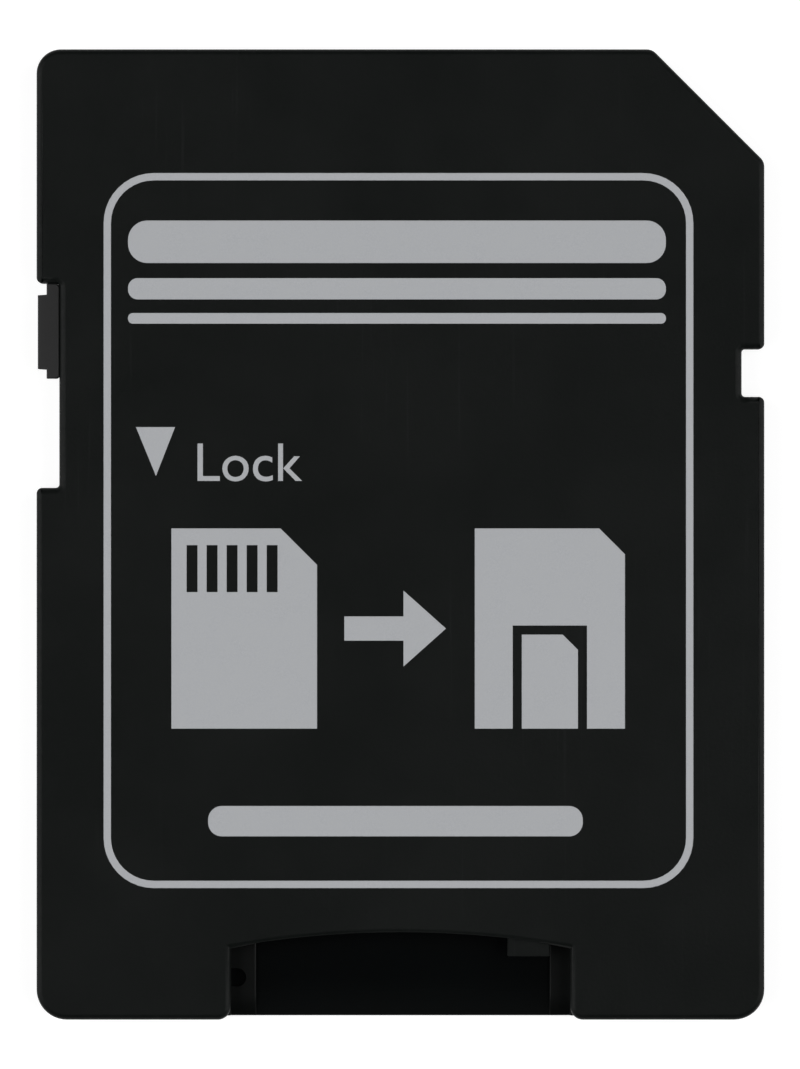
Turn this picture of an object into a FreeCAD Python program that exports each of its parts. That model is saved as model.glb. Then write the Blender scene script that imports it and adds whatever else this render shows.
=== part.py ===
import FreeCAD, Part
import math
import os
import re

import Sketcher

# Memory card adapter: a flat two-part moulded shell in the full-size card shape with a slot for a small card.
# It lies label side up. X runs across the card, Y towards its contact end and Z out of the label face.
# The origin is on the back face, in the middle of the card.

# Numbers of the contacts, counted from the cut corner. Each but the spare ground pad ends in a finger.
PAD_ORDER = (9, 1, 2, 3, 4, 5, 6, 7, 8)
FINGER_ORDER = (9, 1, 2, 4, 5, 6, 7, 8)
NARROW_PADS = (7, 8)
CUT_PAD = PAD_ORDER[0]
LAST_PAD = PAD_ORDER[-1]

SIZES = {
    # Shell outline and thickness
    "card_width": 24.0,
    "card_length": 32.0,
    "card_thickness": 2.1,
    "edge_thickness": 1.4,
    "guide_ledge": 0.75,
    "corner_cut": 3.7,
    "cut_end_radius": 0.42,
    "leading_radius": 0.8,
    "rear_radius": 1.0,
    "ledge_radius": 0.35,
    "rim_radius": 0.2,
    "back_rim_radius": 0.15,
    # Two halves of the shell
    "front_cover_depth": 0.7,
    "front_plate": 0.5,
    "seam_gap": 0.02,
    "side_wall": 2.4,
    "leading_wall": 1.0,
    "rear_wall": 1.4,
    "cut_wall": 0.8,
    "core_rib": 0.8,
    "core_floor": 0.5,
    "pin_diameter": 0.8,
    "pin_length": 0.45,
    "pin_gap": 0.05,
    "rear_pin_inset": 2.5,
    "left_pin_drop": 2.5,
    "right_pin_rise": 3.1,
    # Side notches
    "lock_notch_inset": 7.72,
    "lock_notch_length": 6.74,
    "cut_notch_inset": 9.89,
    "cut_notch_length": 1.57,
    "notch_radius": 0.2,
    "notch_root_radius": 0.12,
    # Slot for the small card, with its thumb recess
    "small_card_width": 11.0,
    "small_card_length": 15.0,
    "small_card_thickness": 0.7,
    "slot_side_gap": 0.1,
    "slot_height_gap": 0.15,
    "slot_end_gap": 0.4,
    "left_rail": 0.83,
    "right_rail": 0.67,
    "channel_depth": 0.3,
    "key_step": 1.2,
    "key_length": 7.0,
    "key_slope": 0.5,
    "lip_setback": 0.1,
    "ramp_length": 0.7,
    "ramp_drop": 0.25,
    "recess_side_depth": 2.34,
    "recess_rise": 0.49,
    "mouth_radius": 0.42,
    "tab_inset": 0.68,
    "tab_width": 1.39,
    "tab_reach": 0.25,
    "tab_root": 1.0,
    "tab_thickness": 0.25,
    "ejector_pocket_radius": 0.3,
    "ejector_pocket_reach": 0.5,
    "ejector_pocket_inset": 1.36,
    "ejector_pocket_depth": 0.2,
    # Write-protect slider
    "slider_length": 3.1,
    "slider_end_gap": 0.02,
    "slider_face_gap": 0.03,
    "slider_gap": 0.05,
    "slider_plate": 0.39,
    "slider_edge_drop": 0.12,
    "grip_front_margin": 0.35,
    "grip_rear_margin": 0.28,
    "grip_slope": 0.02,
    "grip_clearance": 0.04,
    "slider_edge_radius": 0.06,
    "neck_margin": 0.02,
    "neck_height": 0.3,
    "flange_margin": 0.25,
    "flange_depth": 0.6,
    "flange_height": 0.7,
    "track_wall": 0.3,
    "track_inner_wall": 0.65,
    "track_end_wall": 0.75,
    # Contacts and their carrier
    "contact_recess": 0.7,
    "contact_thickness": 0.15,
    "fit_gap": 0.05,
    "first_pad_inset": 3.05,
    "last_pad_inset": 1.75,
    "narrow_pitch": 1.7,
    "pad_gap": 0.8,
    "narrow_gap": 0.5,
    "pad_length": 4.0,
    "pad_front_margin": 0.2,
    "pad_side_margin": 0.2,
    "narrow_side_margin": 0.1,
    "cut_pad_margin": 0.17,
    "window_margin": 0.1,
    "window_rear_margin": 0.2,
    "trace_width": 0.55,
    "trace_stub": 0.4,
    "ground_tail": 0.9,
    "finger_width": 0.5,
    "finger_margin": 0.15,
    "finger_root": 0.5,
    "finger_run": 2.2,
    "finger_rise": 0.34,
    "finger_tip_run": 0.8,
    "finger_tip_drop": 0.28,
    "finger_bend_radius": 0.5,
    # Leaf spring that grips the small card
    "spring_thickness": 0.12,
    "spring_gap": 0.05,
    "spring_pocket_depth": 0.9,
    "spring_pocket_wall": 0.6,
    "spring_key_gap": 0.4,
    "spring_anchor": 1.3,
    "spring_rise_run": 1.6,
    "spring_tail_run": 1.1,
    "spring_reach": 0.25,
    "spring_tail_clearance": 0.35,
    "spring_bend_radius": 0.3,
}

PLACES = {
    # Edges of the shell
    "right_edge": "card_width / 2",
    "leading_edge": "card_length / 2",
    "ledge_x": "right_edge - guide_ledge",
    "cut_sum": "right_edge + leading_edge - corner_cut",
    "lock_front": "leading_edge - lock_notch_inset",
    "lock_rear": "lock_front - lock_notch_length",
    "cut_notch_front": "leading_edge - cut_notch_inset",
    "cut_notch_rear": "cut_notch_front - cut_notch_length",
    # Levels above the back face
    "ledge_level": "card_thickness - edge_thickness",
    "parting": "card_thickness - front_cover_depth",
    "seam": "parting + seam_gap",
    "ceiling": "card_thickness - front_plate",
    "rail_level": "ceiling - small_card_thickness - slot_height_gap",
    "contact_mid": "contact_recess + contact_thickness / 2",
    # Slot and channel
    "slot_side": "small_card_width / 2 + slot_side_gap",
    "slot_end": "small_card_length + slot_end_gap - leading_edge",
    "key_side": "slot_side - key_step",
    "key_front": "slot_end - key_length",
    "key_rear": "key_front - key_slope",
    "channel_left": "left_rail - slot_side",
    "channel_right": "slot_side - right_rail",
    "channel_key": "key_side - right_rail",
    "recess_side_y": "recess_side_depth - leading_edge",
    "recess_top_y": "recess_side_y + recess_rise",
    # Pads and fingers
    "wide_steps": str(len(PAD_ORDER) - len(NARROW_PADS)),
    "finger_steps": str(len(FINGER_ORDER) - 1),
    "pad_pitch": "(card_width - first_pad_inset - last_pad_inset - narrow_pitch) / wide_steps",
    "pad_width": "pad_pitch - pad_gap",
    "narrow_pad": "narrow_pitch - narrow_gap",
    "first_pad_x": "right_edge - first_pad_inset",
    "last_pad_x": "last_pad_inset - right_edge",
    "cavity_front": "leading_edge - leading_wall",
    "cavity_right": "first_pad_x + pad_width / 2 + pad_side_margin",
    "cavity_left": "last_pad_x - narrow_pad / 2 - narrow_side_margin",
    "cavity_cut_sum": "cut_sum - sqrt(2) * cut_wall",
    "pad_front": "cavity_front - pad_front_margin",
    "cut_pad_front": "cavity_cut_sum - first_pad_x - pad_width / 2 - cut_pad_margin",
    "carrier_rear": "slot_end + fit_gap",
    "trace_miter": "(sqrt(2) - 1) * trace_width / 2",
    "finger_pitch": "(channel_key - channel_left - 2 * finger_margin - finger_width) / finger_steps",
    "first_finger_x": "channel_key - finger_margin - finger_width / 2",
    # Slider track
    "track_outer": "track_wall - ledge_x",
    "track_inner": "track_outer + flange_depth + 2 * slider_gap",
    "cavity_left_rear": "track_inner + track_inner_wall",
    "cavity_shoulder": "lock_front + track_end_wall",
    "slider_front": "lock_front - slider_end_gap",
    "slider_rear": "slider_front - slider_length",
    "slider_inner": "-ledge_x - slider_face_gap",
    "slider_outer": "slider_inner - slider_plate",
    "grip_outer": "grip_clearance - right_edge",
    # Leaf spring beside the slot
    "spring_wall": "slot_side + spring_pocket_depth",
    "spring_pocket_front": "key_rear - spring_key_gap",
    "spring_tail_y": "spring_pocket_front - spring_gap",
    "spring_crest_y": "spring_tail_y - spring_tail_run",
    "spring_bend_y": "spring_crest_y - spring_rise_run",
    "spring_rear_y": "spring_bend_y - spring_anchor",
}

SHEET_OF = dict.fromkeys(SIZES, "sizes.") | dict.fromkeys(PLACES, "places.")

TOUCH = 1e-4

doc = FreeCAD.newDocument("card_adapter")


def bound(formula):
    """The formula with each size or place led by the name of its sheet."""
    return re.sub(r"[a-z_]+", lambda word: SHEET_OF.get(word[0], "") + word[0], formula)


def fill_sheet(name, cells):
    """A sheet with one named row for each cell."""
    sheet = doc.addObject("Spreadsheet::Sheet", name)
    for row, (alias, text) in enumerate(cells.items(), start=1):
        sheet.set(f"A{row}", alias)
        sheet.set(f"B{row}", text)
        sheet.setAlias(f"B{row}", alias)
    doc.recompute()
    return sheet


def value(formula):
    """The formula's present value in millimetres."""
    return float(sizes_sheet.evalExpression(bound(formula)))


def new_body(label):
    body = doc.addObject("PartDesign::Body", label)
    body.Label = label
    return body


def new_sketch(body, name, plane, level):
    """An empty sketch on one of the body's own planes, moved along the plane's normal to a level."""
    sketch = body.newObject("Sketcher::SketchObject", name)
    origin_plane = [item for item in body.Origin.OriginFeatures if item.Role == plane][0]
    sketch.AttachmentSupport = (origin_plane, [""])
    sketch.MapMode = "FlatFace"
    sketch.setExpression("AttachmentOffset.Base.z", bound(level))
    return sketch


def bind_point(sketch, geometry, end, point):
    """Ties one point of the sketch to a pair of formulas."""
    for kind, axis, formula in (("DistanceX", -2, point[0]), ("DistanceY", -1, point[1])):
        if formula == "0":
            sketch.addConstraint(Sketcher.Constraint("PointOnObject", geometry, end, axis))
        else:
            number = sketch.addConstraint(Sketcher.Constraint(kind, -1, 1, geometry, end, value(formula)))
            sketch.setExpression(f"Constraints[{number}]", bound(formula))


def at(point):
    return FreeCAD.Vector(value(point[0]), value(point[1]), 0)


def arc_through(first, via, last):
    """An arc that runs anticlockwise, and whether it starts at the last point instead of the first."""
    centre = Part.Circle(first, via, last).Center
    turns_back = (via - first).cross(last - via).z < 0
    start, stop = (last, first) if turns_back else (first, last)
    begin = math.atan2(start.y - centre.y, start.x - centre.x)
    finish = math.atan2(stop.y - centre.y, stop.x - centre.x)
    if finish < begin:
        finish += 2 * math.pi
    circle = Part.Circle(centre, FreeCAD.Vector(0, 0, 1), (first - centre).Length)
    return Part.ArcOfCircle(circle, begin, finish), turns_back


def add_outline(sketch, corners):
    """Draws a closed outline with every corner bound to formulas.

    A corner is (x, y). With two more formulas, the side that starts there is an arc through that point.
    """
    starts = []
    stops = []
    for index, corner in enumerate(corners):
        following = corners[(index + 1) % len(corners)]
        if len(corner) == 2:
            side = sketch.addGeometry(Part.LineSegment(at(corner), at(following)), False)
            turns_back = False
        else:
            arc, turns_back = arc_through(at(corner), at(corner[2:]), at(following))
            side = sketch.addGeometry(arc, False)
            via = sketch.addGeometry(Part.Point(at(corner[2:])), True)
            sketch.addConstraint(Sketcher.Constraint("PointOnObject", via, 1, side))
            bind_point(sketch, via, 1, corner[2:])
        starts.append((side, 2 if turns_back else 1))
        stops.append((side, 1 if turns_back else 2))
    for index, corner in enumerate(corners):
        sketch.addConstraint(Sketcher.Constraint("Coincident", *stops[index - 1], *starts[index]))
        bind_point(sketch, *starts[index], corner)


def closed_sketch(body, name, level, *outlines, plane="XY_Plane"):
    sketch = new_sketch(body, name, plane, level)
    for corners in outlines:
        add_outline(sketch, corners)
    return sketch


def circle_sketch(body, name, centres, diameter, level):
    """Circles of one bound diameter, each with a bound centre."""
    sketch = new_sketch(body, name, "XY_Plane", level)
    for centre in centres:
        circle = Part.Circle(at(centre), FreeCAD.Vector(0, 0, 1), value(diameter) / 2)
        number = sketch.addGeometry(circle, False)
        bind_point(sketch, number, 3, centre)
        size = sketch.addConstraint(Sketcher.Constraint("Diameter", number, value(diameter)))
        sketch.setExpression(f"Constraints[{size}]", bound(diameter))
    return sketch


def bent_path(body, name, points, radius, plane, level):
    """An open path of straight runs joined by tangent arcs of one bound radius."""
    sketch = new_sketch(body, name, plane, level)
    corners = [at(point) for point in points]
    bend = value(radius)
    turns = [None]
    for before, corner, after in zip(corners, corners[1:], corners[2:]):
        incoming = (corner - before).normalize()
        outgoing = (after - corner).normalize()
        reach = bend * math.tan(incoming.getAngle(outgoing) / 2)
        middle = (outgoing - incoming).normalize()
        centre = corner + middle * math.hypot(bend, reach)
        crown = centre - middle * bend
        turns.append((corner - incoming * reach, crown, corner + outgoing * reach))
    turns.append(None)
    runs = []
    for index in range(len(corners) - 1):
        begin = turns[index][2] if turns[index] else corners[index]
        finish = turns[index + 1][0] if turns[index + 1] else corners[index + 1]
        runs.append(sketch.addGeometry(Part.LineSegment(begin, finish), False))
    for index in range(1, len(corners) - 1):
        arc, turns_back = arc_through(*turns[index])
        number = sketch.addGeometry(arc, False)
        first, last = (2, 1) if turns_back else (1, 2)
        sketch.addConstraint(Sketcher.Constraint("Tangent", runs[index - 1], 2, number, first))
        sketch.addConstraint(Sketcher.Constraint("Tangent", number, last, runs[index], 1))
        size = sketch.addConstraint(Sketcher.Constraint("Radius", number, bend))
        sketch.setExpression(f"Constraints[{size}]", bound(radius))
        corner = sketch.addGeometry(Part.Point(corners[index]), True)
        bind_point(sketch, corner, 1, points[index])
        sketch.addConstraint(Sketcher.Constraint("PointOnObject", corner, 1, runs[index - 1]))
        sketch.addConstraint(Sketcher.Constraint("PointOnObject", corner, 1, runs[index]))
    bind_point(sketch, runs[0], 1, points[0])
    bind_point(sketch, runs[-1], 2, points[-1])
    return sketch


def pad(body, name, sketch, length):
    feature = body.newObject("PartDesign::Pad", name)
    feature.Profile = sketch
    feature.setExpression("Length", bound(length))
    doc.recompute()
    return feature


def pocket(body, name, sketch, depth, upwards=False):
    """Cuts the sketch into the body, away from its normal unless told to go upwards."""
    before = body.Shape.Volume
    feature = body.newObject("PartDesign::Pocket", name)
    feature.Profile = sketch
    feature.Reversed = upwards
    feature.setExpression("Length", bound(depth))
    doc.recompute()
    if not body.Shape.Volume < before:
        raise RuntimeError(f"{body.Label}: {name} cuts nothing")
    return feature


def round_edges(body, name, radius, wanted):
    """Rounds the edges of the body that the test picks out."""
    base = body.Tip
    numbers = [count for count, edge in enumerate(base.Shape.Edges, start=1) if wanted(edge)]
    if not numbers:
        raise RuntimeError(f"{body.Label}: {name} finds no edge")
    feature = body.newObject("PartDesign::Fillet", name)
    feature.Base = (base, [f"Edge{number}" for number in numbers])
    feature.setExpression("Radius", bound(radius))
    doc.recompute()
    return feature


def level_at(level):
    """A test for edges that lie wholly at one level."""
    height = value(level)
    return lambda edge: abs(edge.BoundBox.ZMin - height) < TOUCH and abs(edge.BoundBox.ZMax - height) < TOUCH


def shifted(base, share, size):
    return base if abs(share) < TOUCH else f"{base} + {share:.6f} * {size}"


def rounded(x, y, radius, arriving, leaving):
    """The two ends of a rounded corner, with the arc between them.

    The outline comes to the corner on one heading and leaves it on another, in degrees from the X axis.
    """
    turn = math.radians(abs(leaving - arriving))
    reach = math.tan(turn / 2)
    back = [-math.cos(math.radians(arriving)), -math.sin(math.radians(arriving))]
    ahead = [math.cos(math.radians(leaving)), math.sin(math.radians(leaving))]
    inwards = (1 / math.cos(turn / 2) - 1) / (2 * math.sin(turn / 2))
    start = [shifted(base, reach * share, radius) for base, share in zip((x, y), back)]
    stop = [shifted(base, reach * share, radius) for base, share in zip((x, y), ahead)]
    crown = [
        shifted(base, inwards * (first + second), radius)
        for base, first, second in zip((x, y), back, ahead)
    ]
    return [(*start, *crown), tuple(stop)]


def reversed_arc(ends):
    """The ends of a rounded corner, taken the other way round."""
    first, last = ends
    return [(*last, *first[2:]), first[:2]]


def rectangle(left, right, rear, front):
    return [(left, rear), (right, rear), (right, front), (left, front)]


def sweep(body, name, profile, path):
    feature = body.newObject("PartDesign::AdditivePipe", name)
    feature.Profile = profile
    feature.Spine = path
    doc.recompute()
    return feature


sizes_sheet = fill_sheet("sizes", {alias: str(size) for alias, size in SIZES.items()})
fill_sheet("places", {alias: "=" + bound(formula) for alias, formula in PLACES.items()})

# Shared outlines: both halves of the shell are cut by the same notches, slot and carrier cavity.
SHELL = [
    *rounded("right_edge", "-leading_edge", "rear_radius", 0, 90),
    *rounded("right_edge", "leading_edge - corner_cut", "cut_end_radius", 90, 135),
    *rounded("right_edge - corner_cut", "leading_edge", "cut_end_radius", 135, 180),
    *rounded("-right_edge", "leading_edge", "leading_radius", 180, 270),
    *rounded("-right_edge", "-leading_edge", "rear_radius", 270, 360),
]
CUT_NOTCH = [
    *rounded("right_edge", "cut_notch_rear", "notch_radius", 90, 180),
    *rounded("ledge_x", "cut_notch_rear", "notch_root_radius", 180, 90),
    *rounded("ledge_x", "cut_notch_front", "notch_root_radius", 90, 0),
    *rounded("right_edge", "cut_notch_front", "notch_radius", 0, 90),
]
LOCK_NOTCH = [
    *rounded("-right_edge", "lock_front", "notch_radius", 270, 360),
    *rounded("-ledge_x", "lock_front", "notch_root_radius", 360, 270),
    *rounded("-ledge_x", "lock_rear", "notch_root_radius", 270, 180),
    *rounded("-right_edge", "lock_rear", "notch_radius", 180, 270),
]
SLOT = [
    ("-slot_side", "-leading_edge"),
    ("slot_side", "-leading_edge"),
    ("slot_side", "key_rear"),
    ("key_side", "key_front"),
    ("key_side", "slot_end"),
    ("-slot_side", "slot_end"),
]
CHANNEL = [
    ("channel_left", "-leading_edge"),
    ("channel_right", "-leading_edge"),
    ("channel_right", "key_rear"),
    ("channel_key", "key_front"),
    ("channel_key", "slot_end"),
    ("channel_left", "slot_end"),
]
PINS = [
    ("side_wall / 2 - right_edge", "rear_pin_inset - leading_edge"),
    ("right_edge - side_wall / 2", "rear_pin_inset - leading_edge"),
    ("(right_edge + cavity_right) / 2", "cut_notch_front + right_pin_rise"),
    ("side_wall / 2 - right_edge", "lock_rear - left_pin_drop"),
]


def cavity(gap):
    """Outline of the space for the contact carrier, drawn in by a gap all round."""
    right = f"cavity_right - {gap}"
    front = f"cavity_front - {gap}"
    diagonal = f"cavity_cut_sum - sqrt(2) * {gap}"
    return [
        (f"cavity_left_rear + {gap}", f"slot_end + {gap}"),
        (right, f"slot_end + {gap}"),
        (right, f"{diagonal} - ({right})"),
        (f"{diagonal} - ({front})", front),
        (f"cavity_left + {gap}", front),
        (f"cavity_left + {gap}", f"cavity_shoulder + {gap}"),
        (f"cavity_left_rear + {gap}", f"cavity_shoulder + {gap}"),
    ]


def cut_notches(body, level, depth, upwards=False):
    notches = closed_sketch(body, "notch_outlines", level, CUT_NOTCH, LOCK_NOTCH)
    pocket(body, "notches", notches, depth, upwards)


def cut_slider_track(body, level, play, upwards=False):
    """Half of the covered track that the slider's flange runs in, with the slit for its neck."""
    track = rectangle("track_outer", "track_inner", "lock_rear", "lock_front")
    slit = rectangle("-ledge_x", "track_outer", "lock_rear", "lock_front")
    track_sketch = closed_sketch(body, "track_outline", level, track)
    pocket(body, "track", track_sketch, f"flange_height / 2 + {play}", upwards)
    slit_sketch = closed_sketch(body, "neck_slit_outline", level, slit)
    pocket(body, "neck_slit", slit_sketch, f"neck_height / 2 + {play}", upwards)


def make_front_cover():
    """Label side of the shell: a plate with a rounded rim, arched away over the mouth of the slot."""
    body = new_body("front_cover")
    recess = [
        *rounded("-slot_side", "-leading_edge", "mouth_radius", 0, 90),
        ("-slot_side", "recess_side_y", "0", "recess_top_y"),
        ("slot_side", "recess_side_y"),
        *rounded("slot_side", "-leading_edge", "mouth_radius", 270, 360),
    ]
    plate = closed_sketch(body, "plate_outline", "seam", recess + SHELL)
    pad(body, "plate", plate, "card_thickness - seam")
    round_edges(body, "rim", "rim_radius", level_at("card_thickness"))
    cut_notches(body, "seam", "card_thickness - seam", upwards=True)
    slot = closed_sketch(body, "slot_outline", "seam", SLOT)
    pocket(body, "slot_roof", slot, "ceiling - seam", upwards=True)
    room = closed_sketch(body, "cavity_outline", "seam", cavity("0"))
    pocket(body, "carrier_roof", room, "ceiling - seam", upwards=True)
    cut_slider_track(body, "seam", "slider_gap - seam_gap", upwards=True)
    tab_right = "slot_side - tab_inset"
    tab = rectangle(
        f"{tab_right} - tab_width", tab_right, "recess_side_y - tab_reach", "recess_side_y + tab_root"
    )
    pad(body, "tab", closed_sketch(body, "tab_outline", "ceiling", tab), "tab_thickness")
    pins = circle_sketch(body, "pin_circles", PINS, "pin_diameter", "parting - pin_length")
    pad(body, "pins", pins, "pin_length + seam_gap")
    return body


def make_back_cover():
    """Contact side of the shell: guide ledges, card slot, cored sides and a window over each pad."""
    body = new_body("back_cover")
    lower = [
        *rounded("-ledge_x", "-leading_edge", "ledge_radius", 270, 360),
        *rounded("ledge_x", "-leading_edge", "ledge_radius", 0, 90),
        *rounded("ledge_x", "cut_sum - ledge_x", "cut_end_radius", 90, 135),
        *rounded("right_edge - corner_cut", "leading_edge", "cut_end_radius", 135, 180),
        *rounded("-ledge_x", "leading_edge", "ledge_radius", 180, 270),
    ]
    pad(body, "lower_tier", closed_sketch(body, "lower_outline", "0", lower), "ledge_level")
    round_edges(body, "back_rim", "back_rim_radius", level_at("0"))
    upper = closed_sketch(body, "upper_outline", "ledge_level", SHELL)
    pad(body, "upper_tier", upper, "parting - ledge_level")
    cut_notches(body, "parting", "parting - ledge_level")
    room = closed_sketch(body, "cavity_outline", "parting", cavity("0"))
    pocket(body, "carrier_room", room, "parting - contact_recess")
    slot = closed_sketch(body, "slot_outline", "parting", SLOT)
    pocket(body, "slot", slot, "parting - rail_level")
    channel = closed_sketch(body, "channel_outline", "rail_level", CHANNEL)
    pocket(body, "channel", channel, "channel_depth")
    lip_end = "slot_side + mouth_radius"
    setback = rectangle(f"-({lip_end})", lip_end, "-leading_edge", "lip_setback - leading_edge")
    pocket(body, "lip", closed_sketch(body, "lip_outline", "rail_level", setback), "rail_level")
    left_mouth = [("-slot_side", "-leading_edge")]
    left_mouth += reversed_arc(rounded("-slot_side", "-leading_edge", "mouth_radius", 0, 90))
    right_mouth = [("slot_side", "-leading_edge")]
    right_mouth += reversed_arc(rounded("slot_side", "-leading_edge", "mouth_radius", 270, 360))
    mouths = closed_sketch(body, "mouth_outlines", "parting", left_mouth, right_mouth)
    pocket(body, "mouth_corners", mouths, "parting - rail_level")
    ramp = [
        ("lip_setback - leading_edge", "rail_level - ramp_drop"),
        ("lip_setback + ramp_length - leading_edge", "rail_level"),
        ("lip_setback - leading_edge", "rail_level"),
    ]
    ramp_sketch = closed_sketch(body, "ramp_outline", "slot_side", ramp, plane="YZ_Plane")
    pocket(body, "rail_ramps", ramp_sketch, "2 * slot_side")
    middle = "ejector_pocket_inset - leading_edge"
    straight = "ejector_pocket_reach - ejector_pocket_radius - slot_side"
    dent = [
        ("-slot_side", f"{middle} - ejector_pocket_radius"),
        (straight, f"{middle} - ejector_pocket_radius", "ejector_pocket_reach - slot_side", middle),
        (straight, f"{middle} + ejector_pocket_radius"),
        ("-slot_side", f"{middle} + ejector_pocket_radius"),
    ]
    dent_sketch = closed_sketch(body, "dent_outline", "rail_level", dent)
    pocket(body, "ejector_pocket", dent_sketch, "ejector_pocket_depth")
    core_ends = ("rear_wall - leading_edge", "slot_end - core_rib")
    left_core = rectangle("side_wall - right_edge", "-slot_side - core_rib", *core_ends)
    right_core = rectangle("spring_wall + spring_pocket_wall", "right_edge - side_wall", *core_ends)
    cores = closed_sketch(body, "core_outlines", "parting", left_core, right_core)
    pocket(body, "cores", cores, "parting - core_floor")
    nook = rectangle("slot_side", "spring_wall", "spring_rear_y - spring_gap", "spring_pocket_front")
    nook_sketch = closed_sketch(body, "spring_pocket_outline", "parting", nook)
    pocket(body, "spring_pocket", nook_sketch, "parting - rail_level")
    cut_slider_track(body, "parting", "slider_gap")
    pins = circle_sketch(body, "socket_circles", PINS, "pin_diameter + 2 * pin_gap", "parting")
    pocket(body, "pin_sockets", pins, "pin_length + pin_gap")
    windows = closed_sketch(body, "window_outlines", "contact_recess", *pad_windows())
    pocket(body, "windows", windows, "contact_recess")
    return body


def pad_sizes(number):
    """Middle, width and front end of one numbered pad."""
    step = PAD_ORDER.index(number)
    middle = "last_pad_x" if number == LAST_PAD else f"(first_pad_x - {step} * pad_pitch)"
    width = "narrow_pad" if number in NARROW_PADS else "pad_width"
    front = "cut_pad_front" if number == CUT_PAD else "pad_front"
    return middle, width, front


def pad_windows():
    """Outline of each window, open at the leading edge. The two narrow pads share one."""
    windows = []
    for number in PAD_ORDER:
        middle, width, front = pad_sizes(number)
        left = f"{middle} - {width} / 2 - window_margin"
        right = f"{middle} + {width} / 2 + window_margin"
        rear = f"{front} - pad_length - window_rear_margin"
        if number == LAST_PAD:
            right = windows.pop()[1][0]
        windows.append(rectangle(left, right, rear, "leading_edge"))
    return windows


def trace(middle, rear, finger):
    """Outline of the strip from a pad's rear end, slanted at 45 degrees to its finger."""
    half = "trace_width / 2"
    lean = 1 if value(finger) > value(middle) else -1
    start = f"{rear} - trace_stub"
    finish = f"{start} - {lean} * ({finger} - {middle})"
    miter = f"{lean} * trace_miter"
    return [
        (f"{middle} - {half}", rear),
        (f"{middle} - {half}", f"{start} - {miter}"),
        (f"{finger} - {half}", f"{finish} - {miter}"),
        (f"{finger} - {half}", "carrier_rear"),
        (f"{finger} + {half}", "carrier_rear"),
        (f"{finger} + {half}", f"{finish} + {miter}"),
        (f"{middle} + {half}", f"{start} + {miter}"),
        (f"{middle} + {half}", rear),
    ]


def make_contact(number):
    """A stamped contact: host pad, slanted trace and, on all but the spare ground pad, a sprung finger."""
    body = new_body(f"contact_{number}")
    middle, width, front = pad_sizes(number)
    rear = f"{front} - pad_length"
    head = [
        (f"{middle} + {width} / 2", rear),
        (f"{middle} + {width} / 2", front),
        (f"{middle} - {width} / 2", front),
        (f"{middle} - {width} / 2", rear),
    ]
    if number in FINGER_ORDER:
        finger = f"(first_finger_x - {FINGER_ORDER.index(number)} * finger_pitch)"
        tail = trace(middle, rear, finger)
    else:
        left_tail = f"{middle} - trace_width / 2"
        right_tail = f"{middle} + trace_width / 2"
        tail = rectangle(left_tail, right_tail, f"{rear} - ground_tail", rear)
        tail.insert(0, tail.pop())
    strip = closed_sketch(body, "strip_outline", "contact_recess", head + tail)
    pad(body, "strip", strip, "contact_thickness")
    if number in FINGER_ORDER:
        add_finger(body, finger)
    return body


def add_finger(body, finger):
    """Sprung end of a contact: it rises out of the carrier and dips again at its tip."""
    bend = "carrier_rear - finger_root"
    crest = f"{bend} - finger_run"
    path = [
        ("carrier_rear", "contact_mid"),
        (bend, "contact_mid"),
        (crest, "contact_mid + finger_rise"),
        (f"{crest} - finger_tip_run", "contact_mid + finger_rise - finger_tip_drop"),
    ]
    spine = bent_path(body, "finger_path", path, "finger_bend_radius", "YZ_Plane", finger)
    section = rectangle(
        f"{finger} - finger_width / 2",
        f"{finger} + finger_width / 2",
        "contact_recess",
        "contact_recess + contact_thickness",
    )
    profile = closed_sketch(body, "finger_section", "-carrier_rear", section, plane="XZ_Plane")
    sweep(body, "finger", profile, spine)


def make_contact_carrier(contacts):
    """Insulating block moulded round the contacts, which lie flush in its underside."""
    block = new_body("carrier_block")
    outline = closed_sketch(block, "block_outline", "contact_recess", cavity("fit_gap"))
    pad(block, "block", outline, "ceiling - contact_recess")
    inlay = doc.addObject("Part::Compound", "inlay")
    inlay.Links = contacts
    carrier = doc.addObject("Part::Cut", "contact_carrier")
    carrier.Label = "contact_carrier"
    carrier.Base = block
    carrier.Tool = inlay
    doc.recompute()
    return carrier


def make_card_spring():
    """Bent leaf that lies against its pocket's wall and bows into the slot."""
    body = new_body("card_spring")
    leaf = "(spring_wall - spring_thickness / 2)"
    path = [
        (leaf, "spring_rear_y"),
        (leaf, "spring_bend_y"),
        ("slot_side - spring_reach", "spring_crest_y"),
        (f"{leaf} - spring_tail_clearance", "spring_tail_y"),
    ]
    spine = bent_path(body, "leaf_path", path, "spring_bend_radius", "XY_Plane", "rail_level + spring_gap")
    section = rectangle(
        "spring_wall - spring_thickness", "spring_wall", "rail_level + spring_gap", "parting - spring_gap"
    )
    profile = closed_sketch(body, "leaf_section", "-spring_rear_y", section, plane="XZ_Plane")
    sweep(body, "leaf", profile, spine)
    return body


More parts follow.
